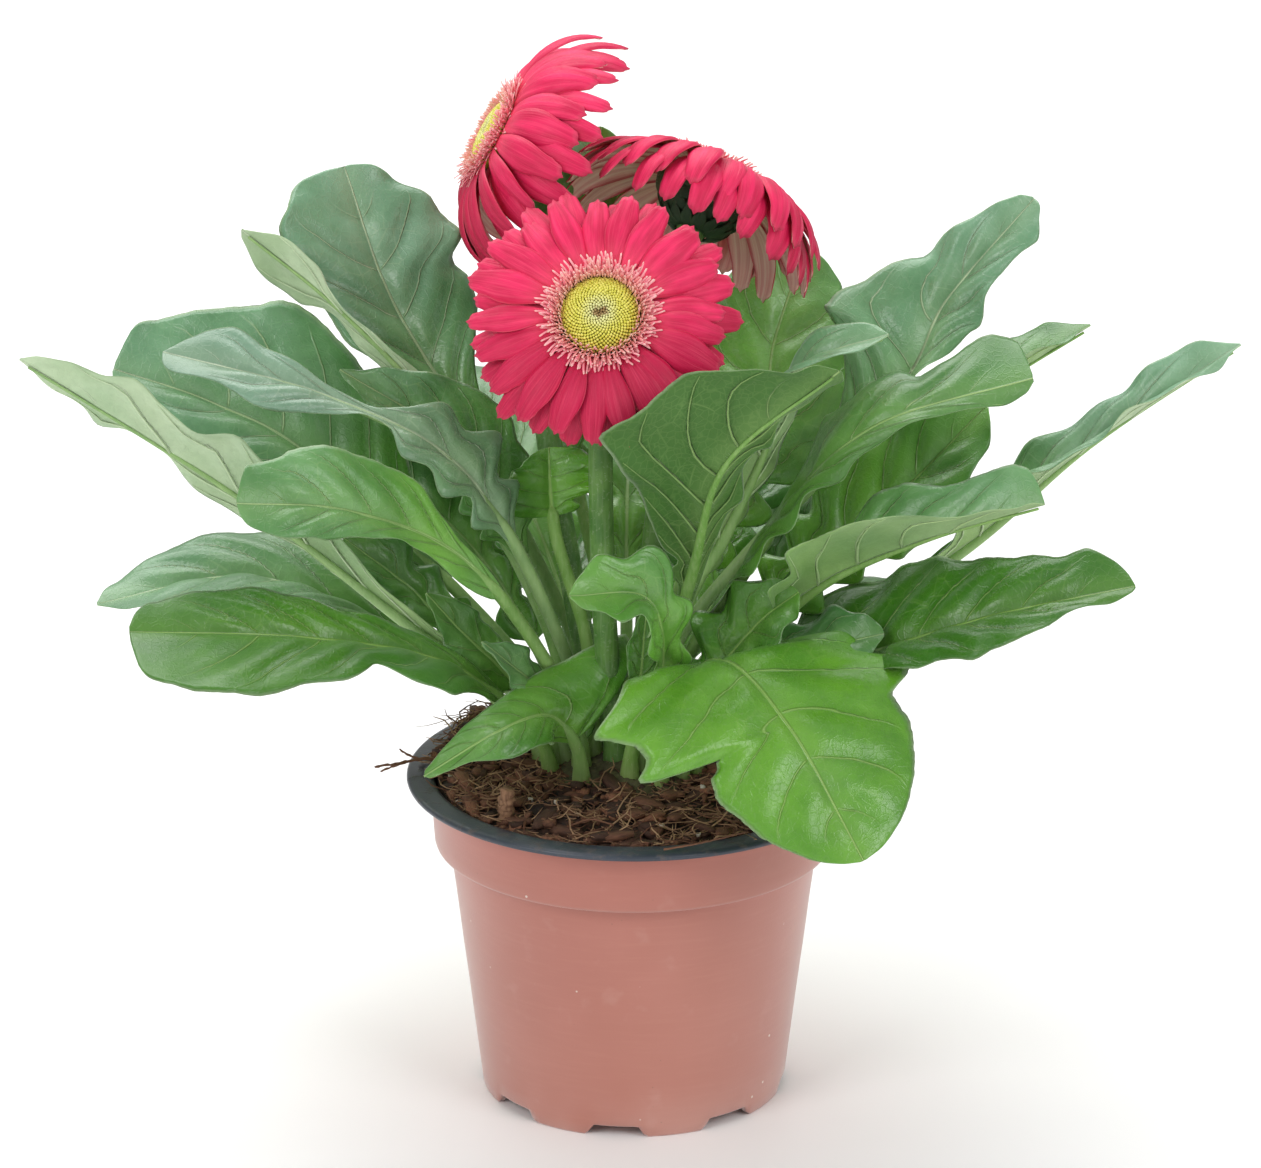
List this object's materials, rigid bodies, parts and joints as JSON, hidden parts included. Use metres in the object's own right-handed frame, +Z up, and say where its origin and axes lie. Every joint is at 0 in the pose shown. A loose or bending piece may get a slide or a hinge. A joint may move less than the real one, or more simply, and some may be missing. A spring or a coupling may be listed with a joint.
{
  "type": "potted gerbera",
  "caption": "Flowering gerbera in a round plastic nursery pot: a rosette of lobed leaves on long stalks, and daisy-like flower heads on bare stems.",
  "frame": {"origin": "middle of the pot's underside, on the surface it stands on", "axes": "+Z up, -Y towards the front, +X to the right as seen from the front"},
  "size_m": [0.3651, 0.2469, 0.3206],
  "materials": {
    "pot": "thin moulded plastic, terracotta outside with a nearly black rim lip",
    "soil": "loose coir and bark, rough",
    "crown": "fibrous and matt",
    "leaf": "satin green above, paler and matt below",
    "stem": "downy, light green",
    "rays": "soft satin",
    "fringe": "matt, with pale tips",
    "disc": "matt, finely grained"
  },
  "bodies": {
    "root": {"pot": "pot", "soil": "soil", "crown": "crown", "leaf_back_left_tall": "leaf", "leaf_back_left_pale": "leaf", "leaf_left_broad": "leaf", "leaf_left_grey": "leaf", "leaf_left_far": "leaf", "leaf_left_front": "leaf", "leaf_left_low": "leaf", "leaf_left_lowest": "leaf", "leaf_over_rim": "leaf", "leaf_front": "leaf", "leaf_right_low": "leaf", "leaf_right_pale": "leaf", "leaf_right_far": "leaf", "leaf_right_tall": "leaf", "leaf_right_edge": "leaf", "leaf_right_arched": "leaf", "leaf_right_dark": "leaf", "leaf_back_right": "leaf", "leaf_centre_grey": "leaf", "leaf_centre_right": "leaf", "leaf_centre_young": "leaf", "leaf_centre_lobed": "leaf", "leaf_centre_left": "leaf", "leaf_back_tall": "leaf", "leaf_back_1": "leaf", "leaf_back_2": "leaf", "leaf_back_3": "leaf", "leaf_back_4": "leaf", "leaf_back_5": "leaf", "leaf_back_low_1": "leaf", "leaf_back_low_2": "leaf", "leaf_back_low_3": "leaf", "leaf_back_low_4": "leaf", "stem_front": "stem", "rays_front": "rays", "fringe_front": "fringe", "disc_front": "disc", "stem_left": "stem", "rays_left": "rays", "fringe_left": "fringe", "disc_left": "disc", "stem_right": "stem", "rays_right": "rays", "fringe_right": "fringe", "disc_right": "disc"}
  },
  "joints": []
}
